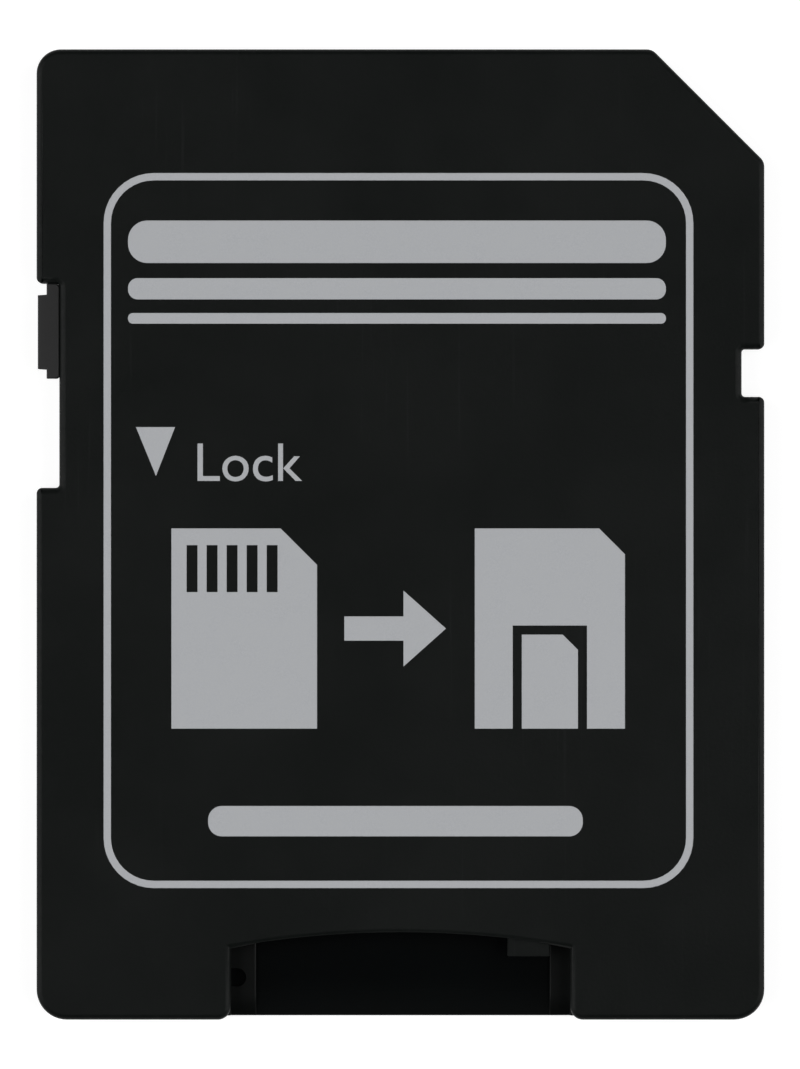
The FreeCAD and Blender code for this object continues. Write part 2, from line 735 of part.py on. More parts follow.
def make_lock_slider():
    """Write-protect slider: outer plate with a thumb grip, neck through the slit and flange in the track."""
    body = new_body("lock_slider")
    low = "ledge_level + slider_edge_drop"
    height = "card_thickness - ledge_level - 2 * slider_edge_drop"
    plate = [
        *rounded("slider_inner", "slider_rear", "notch_root_radius", 0, 90),
        *rounded("slider_inner", "slider_front", "notch_root_radius", 90, 180),
        ("slider_outer", "slider_front"),
        ("slider_outer", "slider_front - grip_front_margin"),
        ("grip_outer", "slider_front - grip_front_margin - grip_slope"),
        ("grip_outer", "slider_rear + grip_rear_margin + grip_slope"),
        ("slider_outer", "slider_rear + grip_rear_margin"),
        ("slider_outer", "slider_rear"),
    ]
    pad(body, "plate", closed_sketch(body, "plate_outline", low, plate), height)
    round_edges(body, "soft_edges", "slider_edge_radius", level_at(f"{low} + {height}"))
    neck = rectangle(
        "slider_inner - slider_plate / 2",
        "track_outer + slider_gap",
        "slider_rear + notch_root_radius + neck_margin",
        "slider_front - notch_root_radius - neck_margin",
    )
    pad(body, "neck", closed_sketch(body, "neck_outline", "parting - neck_height / 2", neck), "neck_height")
    flange = rectangle(
        "track_outer + slider_gap",
        "track_inner - slider_gap",
        "slider_rear + flange_margin",
        "slider_front - flange_margin",
    )
    flange_sketch = closed_sketch(body, "flange_outline", "parting - flange_height / 2", flange)
    pad(body, "flange", flange_sketch, "flange_height")
    return body


contacts = [make_contact(number) for number in PAD_ORDER]
pieces = [make_front_cover(), make_back_cover(), make_contact_carrier(contacts)]
pieces += [make_card_spring(), make_lock_slider()] + contacts
doc.recompute()

for item in doc.Objects:
    if {"Invalid", "Error"} & set(item.State):
        raise RuntimeError(f"{item.Label} failed: {item.State}")
for piece in pieces:
    if piece.Shape.isNull() or not piece.Shape.isValid() or len(piece.Shape.Solids) != 1:
        raise RuntimeError(f"{piece.Label} is not one sound solid")

os.makedirs("parts", exist_ok=True)
for piece in pieces:
    piece.Shape.exportStep(f"parts/{piece.Label}.step")
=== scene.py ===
import math

import bmesh
import bpy
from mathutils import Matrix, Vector


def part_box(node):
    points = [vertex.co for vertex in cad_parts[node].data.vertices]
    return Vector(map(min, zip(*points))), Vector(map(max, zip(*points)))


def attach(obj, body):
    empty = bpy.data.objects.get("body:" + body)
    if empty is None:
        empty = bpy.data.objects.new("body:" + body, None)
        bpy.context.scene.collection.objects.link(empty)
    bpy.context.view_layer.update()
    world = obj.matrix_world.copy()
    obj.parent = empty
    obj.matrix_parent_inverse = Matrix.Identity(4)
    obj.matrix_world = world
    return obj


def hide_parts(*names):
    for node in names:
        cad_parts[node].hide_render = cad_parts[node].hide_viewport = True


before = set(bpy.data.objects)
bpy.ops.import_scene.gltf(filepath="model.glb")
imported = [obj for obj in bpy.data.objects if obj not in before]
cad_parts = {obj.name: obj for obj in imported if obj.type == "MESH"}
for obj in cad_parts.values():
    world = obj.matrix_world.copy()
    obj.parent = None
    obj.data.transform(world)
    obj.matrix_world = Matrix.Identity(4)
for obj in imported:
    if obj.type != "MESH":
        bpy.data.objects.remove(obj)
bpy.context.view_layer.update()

# Back cover: the contact-side half of the shell, moulded in black ABS with a spark-eroded texture.
# Its guide ledges run down both sides, and a window opens over each contact.
# It is welded to the front cover along the seam.
MM = 0.001
WELD_DISTANCE = 1e-7
FLAT_ANGLE = math.radians(0.4)
ARRIS_ANGLE = math.radians(32)
SHORT_EDGE = 0.2 * MM
FLAT_WEIGHT = 100


def softened_copy(node, name, arris, segments=2, trim=None):
    """The solid as one welded mesh, with flat faces kept flat and each sharp edge broken.

    A trim, where one is given, moves the welded vertices first.
    """
    bm = bmesh.new()
    bm.from_mesh(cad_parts[node].data)
    bmesh.ops.remove_doubles(bm, verts=bm.verts, dist=WELD_DISTANCE)
    if trim:
        trim(bm.verts)
    bmesh.ops.dissolve_limit(bm, angle_limit=FLAT_ANGLE, verts=bm.verts, edges=bm.edges)
    for face in bm.faces:
        face.smooth = True
    broken = bm.edges.layers.float.new("bevel_weight_edge")
    for edge in bm.edges:
        long_enough = edge.calc_length() > SHORT_EDGE
        if edge.is_convex and long_enough and edge.calc_face_angle() > ARRIS_ANGLE:
            edge[broken] = 1.0
    mesh = bpy.data.meshes.new(name)
    bm.to_mesh(mesh)
    bm.free()
    if "custom_normal" in mesh.attributes:
        mesh.attributes.remove(mesh.attributes["custom_normal"])
    mesh.set_sharp_from_angle(angle=ARRIS_ANGLE)
    piece = bpy.data.objects.new(name, mesh)
    bpy.context.scene.collection.objects.link(piece)
    bevel = piece.modifiers.new("arris", "BEVEL")
    bevel.limit_method = "WEIGHT"
    bevel.width = arris
    bevel.segments = segments
    bevel.use_clamp_overlap = False
    flats = piece.modifiers.new("flat_faces", "WEIGHTED_NORMAL")
    flats.mode = "FACE_AREA"
    flats.weight = FLAT_WEIGHT
    flats.keep_sharp = True
    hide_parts(node)
    return piece


def edge_ends(piece, edge):
    return [piece.data.vertices[index].co for index in edge.vertices]


def dress(piece, material, body):
    piece.data.materials.clear()
    piece.data.materials.append(material)
    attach(piece, body)


def new_material(name, **constants):
    """A material with its shader's plain values set. Underscores stand for spaces."""
    material = bpy.data.materials.new(name)
    material.use_nodes = True
    tree = material.node_tree
    shader = tree.nodes["Principled BSDF"]
    for socket, number in constants.items():
        shader.inputs[socket.replace("_", " ")].default_value = number
    return material, tree, shader


def add_node(tree, kind, settings=None, **inputs):
    """A node with its settings, and its inputs linked or set. Underscores stand for spaces."""
    node = tree.nodes.new(kind)
    for key, setting in (settings or {}).items():
        setattr(node, key, setting)
    for key, source in inputs.items():
        socket = node.inputs[key.replace("_", " ")]
        if isinstance(source, bpy.types.NodeSocket):
            tree.links.new(source, socket)
        else:
            socket.default_value = source
    return node


def object_place(tree):
    return add_node(tree, "ShaderNodeTexCoord").outputs["Object"]


def axes(tree, vector):
    return add_node(tree, "ShaderNodeSeparateXYZ", Vector=vector).outputs


def noise(tree, place, scale, detail, roughness=0.5):
    """Soft noise about the middle of the range from 0 to 1."""
    return add_node(
        tree, "ShaderNodeTexNoise", Vector=place, Scale=scale, Detail=detail, Roughness=roughness
    ).outputs["Fac"]


def remap(tree, number, low, high, start=0.0, end=1.0):
    """Carries the range from low to high over to the range from start to end."""
    return add_node(
        tree,
        "ShaderNodeMapRange",
        Value=number,
        From_Min=low,
        From_Max=high,
        To_Min=start,
        To_Max=end,
    ).outputs["Result"]


def combine(tree, operation, first, second):
    """One number from two, by a product or the larger of them."""
    node = tree.nodes.new("ShaderNodeMath")
    node.operation = operation
    tree.links.new(first, node.inputs[0])
    tree.links.new(second, node.inputs[1])
    return node.outputs[0]


def mix_colours(tree, factor, first, second):
    """A colour between two, by a factor that varies over the surface."""
    mixer = tree.nodes.new("ShaderNodeMix")
    mixer.data_type = "RGBA"
    tree.links.new(factor, mixer.inputs["Factor"])
    for socket, source in ((mixer.inputs[6], first), (mixer.inputs[7], second)):
        if isinstance(source, bpy.types.NodeSocket):
            tree.links.new(source, socket)
        else:
            socket.default_value = (*source, 1.0)
    return mixer.outputs[2]


def add_surface(tree, shader, colour, roughness):
    tree.links.new(colour, shader.inputs["Base Color"])
    tree.links.new(roughness, shader.inputs["Roughness"])


def add_relief(tree, shader, height, strength, distance):
    """Fine relief in the shading, with its full height in metres."""
    bump = add_node(tree, "ShaderNodeBump", Height=height, Strength=strength, Distance=distance)
    tree.links.new(bump.outputs["Normal"], shader.inputs["Normal"])


def new_group(name, inputs, outputs):
    """An empty node group with float inputs and outputs, and its two end nodes."""
    tree = bpy.data.node_groups.new(name, "ShaderNodeTree")
    for label, start in inputs.items():
        socket = tree.interface.new_socket(label, in_out="INPUT", socket_type="NodeSocketFloat")
        socket.default_value = start
    for label in outputs:
        tree.interface.new_socket(label, in_out="OUTPUT", socket_type="NodeSocketFloat")
    given = tree.nodes.new("NodeGroupInput").outputs
    return tree, given, tree.nodes.new("NodeGroupOutput").inputs


def add_group(tree, group, **inputs):
    return add_node(tree, "ShaderNodeGroup", {"node_tree": group}, **inputs).outputs


PATCH_SCALE = 260.0


def spark_grain_group():
    """Spark-eroded mould texture: rounded grains, with softer patches between them."""
    tree, given, result = new_group(
        "spark_grain",
        {"Density": 7000.0, "Matt": 0.5, "Polished": 0.4},
        ("Height", "Roughness", "Patch"),
    )
    place = object_place(tree)
    grain = noise(tree, place, given["Density"], 3.0, 0.55)
    patch = remap(tree, noise(tree, place, PATCH_SCALE, 4.0), 0.35, 0.65)
    gloss = remap(tree, grain, 0.3, 0.7, given["Polished"], given["Matt"])
    tree.links.new(grain, result["Height"])
    tree.links.new(gloss, result["Roughness"])
    tree.links.new(patch, result["Patch"])
    return tree


# Each set of scuffs: its turn from the card's length in degrees, and its fineness across.
SCUFF_SETS = ((3.0, 9000.0), (-7.0, 6000.0))
SCUFF_STRETCH = 60
SCUFF_ZONE_SCALE = 180.0


def hairline_group():
    """Fine scuffs from sliding in and out along the card: 1 on a scuff, 0 elsewhere."""
    tree, given, result = new_group("handling_hairlines", {"Cover": 0.3}, ("Scuff",))
    place = object_place(tree)
    masks = []
    for turn, across in SCUFF_SETS:
        laid = add_node(
            tree,
            "ShaderNodeMapping",
            Vector=place,
            Rotation=(0.0, 0.0, math.radians(turn)),
            Scale=(across, across / SCUFF_STRETCH, across),
        ).outputs["Vector"]
        masks.append(remap(tree, noise(tree, laid, 1.0, 2.0), 0.66, 0.74))
    both = combine(tree, "MAXIMUM", *masks)
    zone = remap(tree, noise(tree, place, SCUFF_ZONE_SCALE, 2.0), 0.45, 0.65)
    scuff = combine(tree, "MULTIPLY", combine(tree, "MULTIPLY", both, zone), given["Cover"])
    tree.links.new(scuff, result["Scuff"])
    return tree


SPARK_GRAIN = spark_grain_group()
HAIRLINES = hairline_group()
SHELL_DENSITY = 9000.0
SHELL_SCUFF = (0.013, 0.014, 0.014)


def black_abs(name, deep, pale, polished, matt, relief):
    """Black ABS as the mould left it, with its grain's relief in metres."""
    material, tree, shader = new_material(name, Specular_IOR_Level=0.08)
    grain = add_group(tree, SPARK_GRAIN, Density=SHELL_DENSITY, Matt=matt, Polished=polished)
    scuff = add_group(tree, HAIRLINES, Cover=0.35)["Scuff"]
    body = mix_colours(tree, grain["Patch"], deep, pale)
    worn = mix_colours(tree, scuff, body, SHELL_SCUFF)
    add_surface(tree, shader, worn, grain["Roughness"])
    add_relief(tree, shader, grain["Height"], 0.35, relief)
    return material


TEXTURED_ABS = black_abs(
    "textured_black_abs",
    deep=(0.0031, 0.0041, 0.0037),
    pale=(0.0051, 0.0061, 0.0057),
    polished=0.34,
    matt=0.5,
    relief=0.016 * MM,
)
# Painted shade: the rails are the same black ABS as the face, with colours painted darker for the
# shade in the slot's mouth.
RAIL_ABS_PAINTED_SHADE = black_abs(
    "smooth_rail_abs_painted_shade",
    deep=(0.0024, 0.0029, 0.0027),
    pale=(0.003, 0.0035, 0.0033),
    polished=0.32,
    matt=0.4,
    relief=0.002 * MM,
)
# Painted shade: the slot's floor colours are far darker than the face's, for the shade deep in the
# slot.
SLOT_PAINTED_SHADE_DEEP = (0.0005, 0.0009, 0.001)
SLOT_PAINTED_SHADE_PALE = (0.0008, 0.0013, 0.0014)
# Painted light: the paler colour below is laid over the slot's floor from the start line to the
# full line, towards the mouth, where light reaches in.
SLOT_PAINTED_LIGHT = (0.0021, 0.0026, 0.0026)
SLOT_SCUFF = (0.007, 0.0075, 0.0075)
PAINTED_LIGHT_START = -14.6 * MM
PAINTED_LIGHT_FULL = -15.7 * MM


def painted_shade_slot_abs():
    """Polished black ABS with painted shade and painted light: its colours are far darker than the
    face's for the shade deep in the slot, and paler towards the mouth where light reaches in.
    """
    material, tree, shader = new_material("polished_slot_abs_painted_shade_and_light", Specular_IOR_Level=0.06)
    grain = add_group(tree, SPARK_GRAIN, Density=SHELL_DENSITY, Matt=0.27, Polished=0.24)
    scuff = add_group(tree, HAIRLINES, Cover=0.25)["Scuff"]
    # Painted light: the floor is painted paler towards the mouth, over the painted shade.
    painted_mouth_light = remap(tree, axes(tree, object_place(tree))["Y"], PAINTED_LIGHT_START, PAINTED_LIGHT_FULL)
    body = mix_colours(tree, grain["Patch"], SLOT_PAINTED_SHADE_DEEP, SLOT_PAINTED_SHADE_PALE)
    mouth_lit_colour = mix_colours(tree, painted_mouth_light, body, SLOT_PAINTED_LIGHT)
    worn = mix_colours(tree, scuff, mouth_lit_colour, SLOT_SCUFF)
    add_surface(tree, shader, worn, grain["Roughness"])
    return material


POLISHED_ABS_PAINTED_SHADE = painted_shade_slot_abs()
NEAR = 0.01 * MM
SHELL_ARRIS = 0.03 * MM
RAIL_ROUND = 0.08 * MM
RAIL_STEPS = 3
CHANNEL_LEFT = -4.77 * MM
CHANNEL_RIGHT = 4.93 * MM
SLOT_SIDE = 5.65 * MM
SLOT_END = -0.4 * MM
SLOT_FLOOR = 0.4 * MM
RAIL_LEVEL = 0.75 * MM
RAMP_FACING = -0.1
RAMP_START = -15.2 * MM
RAMP_ARRIS = 0.01 * MM
RAIL_MATERIAL = 1
SLOT_MATERIAL = 2
back_shell = softened_copy("back_cover", "back_shell", RAIL_ROUND, RAIL_STEPS)
breaks = back_shell.data.attributes["bevel_weight_edge"].data
for edge in back_shell.data.edges:
    ends = edge_ends(back_shell, edge)
    on_rail = any(
        all(abs(end.x - side) < NEAR for end in ends) for side in (CHANNEL_LEFT, CHANNEL_RIGHT)
    )
    if on_rail and min(end.y for end in ends) < RAMP_START - NEAR:
        breaks[edge.index].value *= RAMP_ARRIS / RAIL_ROUND
    elif not on_rail:
        breaks[edge.index].value *= SHELL_ARRIS / RAIL_ROUND
dress(back_shell, TEXTURED_ABS, "case")
back_shell.data.materials.append(RAIL_ABS_PAINTED_SHADE)
back_shell.data.materials.append(POLISHED_ABS_PAINTED_SHADE)
# The slot's facets take the painted-shade materials: the rails and ramps one, the slot's floor the
# other.
for facet in back_shell.data.polygons:
    spot = facet.center
    in_height = SLOT_FLOOR < spot.z < RAIL_LEVEL + NEAR
    if abs(spot.x) < SLOT_SIDE and spot.y < SLOT_END and in_height:
        on_rail = spot.z > RAIL_LEVEL - NEAR or facet.normal.y < RAMP_FACING
        facet.material_index = RAIL_MATERIAL if on_rail else SLOT_MATERIAL

# Card spring: a narrow leaf of stainless strip, rolled bright and bent twice.
# It stands in a pocket beside the slot, and its bow grips the small card's edge.
SPRING_ARRIS = 0.015 * MM
STAIN_SCALE = 900.0
ROLLING_RELIEF = 0.002 * MM


def rolled_strip_group():
    """Rolling lines along a strip: fine long streaks, and a stain that varies slowly."""
    tree, given, result = new_group(
        "rolling_lines", {"Across": 14000.0, "Along": 350.0}, ("Lines", "Stain")
    )
    place = object_place(tree)
    across = given["Across"]
    stretch = add_node(tree, "ShaderNodeCombineXYZ", X=across, Y=given["Along"], Z=across)
    laid = add_node(tree, "ShaderNodeMapping", Vector=place, Scale=stretch.outputs["Vector"])
    lines = noise(tree, laid.outputs["Vector"], 1.0, 4.0, 0.6)
    tree.links.new(lines, result["Lines"])
    tree.links.new(noise(tree, place, STAIN_SCALE, 3.0), result["Stain"])
    return tree


ROLLING_LINES = rolled_strip_group()


def strip_metal(name, pale, deep, smooth, rough):
    material, tree, shader = new_material(name, Metallic=1.0)
    roll = add_group(tree, ROLLING_LINES)
    tint = mix_colours(tree, roll["Stain"], deep, pale)
    add_surface(tree, shader, tint, remap(tree, roll["Lines"], 0.3, 0.7, smooth, rough))
    add_relief(tree, shader, roll["Lines"], 0.25, ROLLING_RELIEF)
    return material


SPRING_STEEL = strip_metal(
    "bright_spring_steel", pale=(0.6, 0.61, 0.62), deep=(0.48, 0.49, 0.5), smooth=0.2, rough=0.38
)
leaf_spring = softened_copy("card_spring", "leaf_spring", SPRING_ARRIS)
dress(leaf_spring, SPRING_STEEL, "case")

# Contacts: nine pieces stamped from thin copper alloy and plated with gold.
# Each has a flat pad behind its window, and eight end in a sprung finger that meets the small card.
CONTACT_ARRIS = 0.02 * MM
CONTACT_COUNT = 9
CONTACT_GOLD = strip_metal(
    "gold_plated_strip", pale=(0.9, 0.66, 0.27), deep=(0.8, 0.55, 0.19), smooth=0.16, rough=0.34
)
for number in range(1, CONTACT_COUNT + 1):
    contact = softened_copy(f"contact_{number}", f"plated_contact_{number}", CONTACT_ARRIS)
    dress(contact, CONTACT_GOLD, "case")

# Contact carrier: a smooth black insulator, moulded with a bed for each contact in its underside.
# It drops into a room in the back cover, and the front cover holds it there.
CARRIER_ARRIS = 0.02 * MM
CARRIER_DEEP = (0.008, 0.008, 0.0085)
CARRIER_PALE = (0.013, 0.013, 0.0135)
CARRIER_RELIEF = 0.002 * MM


def carrier_plastic():
    material, tree, shader = new_material("smooth_black_insulator", Specular_IOR_Level=0.45)
    grain = add_group(tree, SPARK_GRAIN, Density=15000.0, Matt=0.46, Polished=0.32)
    body = mix_colours(tree, grain["Patch"], CARRIER_DEEP, CARRIER_PALE)
    add_surface(tree, shader, body, grain["Roughness"])
    add_relief(tree, shader, grain["Height"], 0.15, CARRIER_RELIEF)
    return material


carrier = softened_copy("contact_carrier", "insulator_block", CARRIER_ARRIS)
dress(carrier, carrier_plastic(), "case")

# Lock slider: a small satin grey moulding whose flange runs in a track between the two covers.
# Its grip stands out in the side notch, where a thumbnail moves it.
# Its plate is fitted closely to the notch, so that no light shows past it.
SLIDER_ARRIS = 0.015 * MM
SLIDER_DEEP = (0.0155, 0.0155, 0.0157)
SLIDER_PALE = (0.0185, 0.0185, 0.0187)
SLIDER_THUMBED = (0.0195, 0.0195, 0.0197)
SLIDER_RELIEF = 0.012 * MM
GRIP_CREST = -11.9 * MM
GRIP_FOOT = -11.7 * MM
PLATE_INNER = -11.27 * MM
PLATE_REAR = 5.16 * MM
PLATE_FRONT = 8.26 * MM
CORNER_REACH = 0.14 * MM
FACE_FIT = 0.027 * MM
END_FIT = 0.017 * MM


def slider_plastic():
    material, tree, shader = new_material("satin_grey_moulding", Specular_IOR_Level=0.17)
    grain = add_group(tree, SPARK_GRAIN, Density=11000.0, Matt=0.52, Polished=0.42)
    touch = remap(tree, axes(tree, object_place(tree))["X"], GRIP_FOOT, GRIP_CREST)
    body = mix_colours(tree, grain["Patch"], SLIDER_DEEP, SLIDER_PALE)
    thumbed = mix_colours(tree, touch, body, SLIDER_THUMBED)
    add_surface(tree, shader, thumbed, grain["Roughness"])
    add_relief(tree, shader, grain["Height"], 0.25, SLIDER_RELIEF)
    return material


slider = softened_copy("lock_slider", "lock_switch", SLIDER_ARRIS)
for vertex in slider.data.vertices:
    if vertex.co.x < PLATE_INNER:
        if vertex.co.x > PLATE_INNER - CORNER_REACH:
            vertex.co.x += FACE_FIT
        if vertex.co.y < PLATE_REAR + CORNER_REACH:
            vertex.co.y -= END_FIT
        elif vertex.co.y > PLATE_FRONT - CORNER_REACH:
            vertex.co.y += END_FIT
dress(slider, slider_plastic(), "slider")

# Front cover: the label-side half of the shell, in the same black ABS as the back.
# Its rim is rounded, and its edge arches back over the mouth of the slot for a thumb.
NOTCH_ROUND = 0.21 * MM
NOTCH_STEPS = 5
ARCH_HALF = 5.6 * MM
ARCH_RISE = 0.49 * MM
ARCH_TOP = -13.17 * MM
ARCH_RADIUS = (ARCH_HALF**2 + ARCH_RISE**2) / (2 * ARCH_RISE)
ARCH_FILLET = 0.2 * MM
ARCH_TRIM = 0.06 * MM
ARCH_TAPER = 1.1 * MM
FACE_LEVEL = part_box("front_cover")[1].z


def arch_depth(place):
    """How far a point lies behind the arch's line, which ends at the mouth's corners."""
    across = min(abs(place.x), ARCH_HALF)
    return place.y - ARCH_TOP + ARCH_RADIUS - math.sqrt(ARCH_RADIUS**2 - across**2)


def in_arch_fillet(place):
    in_height = place.z > FACE_LEVEL - ARCH_FILLET - NEAR
    in_width = abs(place.x) < ARCH_HALF + ARCH_FILLET
    return in_height and in_width and -NEAR < arch_depth(place) < ARCH_FILLET + NEAR


def trim_arch(vertices):
    """Cuts the steep foot off the fillet over the mouth, less and less towards the arch's ends."""
    for vertex in vertices:
        depth = arch_depth(vertex.co)
        trim = ARCH_TRIM * min((ARCH_HALF - abs(vertex.co.x)) / ARCH_TAPER, 1.0)
        if trim > 0.0 and -NEAR < depth < trim:
            vertex.co.y += trim - depth


front_shell = softened_copy("front_cover", "front_shell", NOTCH_ROUND, NOTCH_STEPS, trim_arch)
breaks = front_shell.data.attributes["bevel_weight_edge"].data
for edge in front_shell.data.edges:
    ends = edge_ends(front_shell, edge)
    on_face = all(abs(end.z - FACE_LEVEL) < NEAR for end in ends)
    if on_face and edge.use_edge_sharp:
        breaks[edge.index].value = 1.0
    elif all(in_arch_fillet(end) for end in ends):
        breaks[edge.index].value = 0.0
    else:
        breaks[edge.index].value *= SHELL_ARRIS / NOTCH_ROUND
dress(front_shell, TEXTURED_ABS, "case")

# Label print: one pass of silver-grey screen ink on the front cover.
# A thin border frames the switch's arrow and word, plain stripes, a plain bar,
# and a picture of a small card going into an adapter.
INK_SUNK = 0.002 * MM
INK_PROUD = 0.005 * MM
INK_DEEP = (0.375, 0.385, 0.405)
INK_PALE = (0.425, 0.435, 0.45)
INK_THIN = (0.405, 0.415, 0.43)
INK_RELIEF = 0.002 * MM
FLAKE_SCALE = 38000.0
FILM_SCALE = 1400.0
CORNER_STEPS = 10


def label_ink():
    material, tree, shader = new_material("silver_screen_ink", Specular_IOR_Level=0.3)
    place = object_place(tree)
    flake = add_node(tree, "ShaderNodeTexVoronoi", Vector=place, Scale=FLAKE_SCALE)
    fleck = axes(tree, flake.outputs["Color"])["X"]
    film = noise(tree, place, FILM_SCALE, 4.0)
    silver = mix_colours(tree, fleck, INK_DEEP, INK_PALE)
    laid = mix_colours(tree, remap(tree, film, 0.3, 0.7), silver, INK_THIN)
    add_surface(tree, shader, laid, remap(tree, fleck, 0.0, 1.0, 0.42, 0.6))
    add_relief(tree, shader, film, 0.2, INK_RELIEF)
    return material


LABEL_INK = label_ink()


def break_corners(bm, corners, offset, steps):
    """Rounds a flat field's corners, or cuts them in one step, by an offset in millimetres."""
    bmesh.ops.bevel(
        bm,
        geom=corners,
        offset=offset * MM,
        offset_type="OFFSET",
        affect="VERTICES",
        segments=steps,
        profile=0.5,
        material=-1,
    )


def plain_field(bm, left, right, low, high, corner=0.0):
    """A flat rectangle of ink, given in millimetres on the card, with rounded corners."""
    made = bmesh.ops.create_grid(bm, x_segments=1, y_segments=1, size=0.5 * MM)["verts"]
    middle = Vector(((left + right) / 2 * MM, (low + high) / 2 * MM, 0.0))
    bmesh.ops.scale(bm, verts=made, vec=(right - left, high - low, 1.0))
    bmesh.ops.translate(bm, verts=made, vec=middle)
    if corner:
        break_corners(bm, made, corner, CORNER_STEPS)


def print_ink(name, bm):
    """Gives flat fields the ink's thickness and lays them on the front cover."""
    bmesh.ops.recalc_face_normals(bm, faces=bm.faces)
    fields = list(bm.faces)
    for face in fields:
        if face.normal.z < 0:
            face.normal_flip()
    raised = bmesh.ops.extrude_face_region(bm, geom=fields, use_keep_orig=True)["geom"]
    top = [item for item in raised if isinstance(item, bmesh.types.BMVert)]
    bmesh.ops.translate(bm, verts=bm.verts, vec=(0.0, 0.0, FACE_LEVEL - INK_SUNK))
    bmesh.ops.translate(bm, verts=top, vec=(0.0, 0.0, INK_SUNK + INK_PROUD))
    bmesh.ops.recalc_face_normals(bm, faces=bm.faces)
    mesh = bpy.data.meshes.new(name)
    bm.to_mesh(mesh)
    bm.free()
    piece = bpy.data.objects.new(name, mesh)
    bpy.context.scene.collection.objects.link(piece)
    dress(piece, LABEL_INK, "case")


def print_polygon(name, corners):
    """One flat field of ink with straight sides, its corners given in millimetres."""
    ink = bmesh.new()
    ink.faces.new([ink.verts.new((x * MM, y * MM, 0.0)) for x, y in corners])
    print_ink(name, ink)


BORDER = (-9.785, 9.655, -11.655, 11.915)
BORDER_CORNER = 1.65
BORDER_LINE = 0.24 * MM
frame_ink = bmesh.new()
plain_field(frame_ink, *BORDER, corner=BORDER_CORNER)
bmesh.ops.inset_region(
    frame_ink,
    faces=frame_ink.faces,
    thickness=BORDER_LINE,
    use_even_offset=True,
    use_boundary=True,
)
inner = max(frame_ink.faces, key=lambda face: len(face.verts))
bmesh.ops.delete(frame_ink, geom=[inner], context="FACES")
print_ink("label_border", frame_ink)

ARROW = ((-8.72, 3.54), (-7.43, 3.54), (-8.06, 1.93))
print_polygon("lock_arrow", ARROW)

WORD_LEFT = -6.69
WORD_RIGHT = -3.24
WORD_FOOT = 1.75
WORD_TOP = 3.0
LETTER_STEPS = 6
LETTER_WELD = 1e-5
lettering = bpy.data.curves.new("lock_lettering", "FONT")
lettering.body = "Lock"
lettering.resolution_u = LETTER_STEPS
typed = bpy.data.objects.new("lock_lettering", lettering)
bpy.context.scene.collection.objects.link(typed)
graph = bpy.context.evaluated_depsgraph_get()
outline = bpy.data.meshes.new_from_object(typed.evaluated_get(graph))
bpy.data.objects.remove(typed)
word_ink = bmesh.new()
word_ink.from_mesh(outline)
bmesh.ops.remove_doubles(word_ink, verts=word_ink.verts, dist=LETTER_WELD)
spots = [vert.co for vert in word_ink.verts]
lows = [min(spot[axis] for spot in spots) for axis in range(2)]
highs = [max(spot[axis] for spot in spots) for axis in range(2)]
wide = (WORD_RIGHT - WORD_LEFT) * MM / (highs[0] - lows[0])
tall = (WORD_TOP - WORD_FOOT) * MM / (highs[1] - lows[1])
bmesh.ops.translate(word_ink, verts=word_ink.verts, vec=(-lows[0], -lows[1], 0.0))
bmesh.ops.scale(word_ink, verts=word_ink.verts, vec=(wide, tall, 1.0))
bmesh.ops.translate(word_ink, verts=word_ink.verts, vec=(WORD_LEFT * MM, WORD_FOOT * MM, 0.0))
print_ink("lock_word", word_ink)

STRIPES_LEFT = -8.98
STRIPES_RIGHT = 8.75
STRIPES = ((10.35, 8.95), (8.45, 7.75), (7.3, 6.95))
STRIPE_ROUNDING = 2.2
stripe_ink = bmesh.new()
for high, low in STRIPES:
    corner = (high - low) / STRIPE_ROUNDING
    plain_field(stripe_ink, STRIPES_LEFT, STRIPES_RIGHT, low, high, corner=corner)
print_ink("top_stripes", stripe_ink)

FOOT_BAR = (-6.34, 6.01, -9.95, -8.95)
FOOT_CORNER = 0.45
foot_ink = bmesh.new()
plain_field(foot_ink, *FOOT_BAR, corner=FOOT_CORNER)
print_ink("foot_bar", foot_ink)


def knock_out(bm, left, right, low, high):
    """Leaves a rectangular gap in the ink, given in millimetres."""
    for spot, normal in (
        ((left * MM, 0.0, 0.0), (1.0, 0.0, 0.0)),
        ((right * MM, 0.0, 0.0), (1.0, 0.0, 0.0)),
        ((0.0, low * MM, 0.0), (0.0, 1.0, 0.0)),
        ((0.0, high * MM, 0.0), (0.0, 1.0, 0.0)),
    ):
        everything = bm.verts[:] + bm.edges[:] + bm.faces[:]
        bmesh.ops.bisect_plane(bm, geom=everything, plane_co=spot, plane_no=normal)
    gap = []
    for face in bm.faces:
        middle = face.calc_center_median() / MM
        if left < middle.x < right and low < middle.y < high:
            gap.append(face)
    bmesh.ops.delete(bm, geom=gap, context="FACES")


def card_field(bm, left, right, low, high, corner_cut):
    """A card's outline filled with ink: a rectangle whose top right corner is cut off."""
    plain_field(bm, left, right, low, high)
    corner = max(bm.verts, key=lambda vert: vert.co.x + vert.co.y)
    break_corners(bm, [corner], corner_cut, 1)


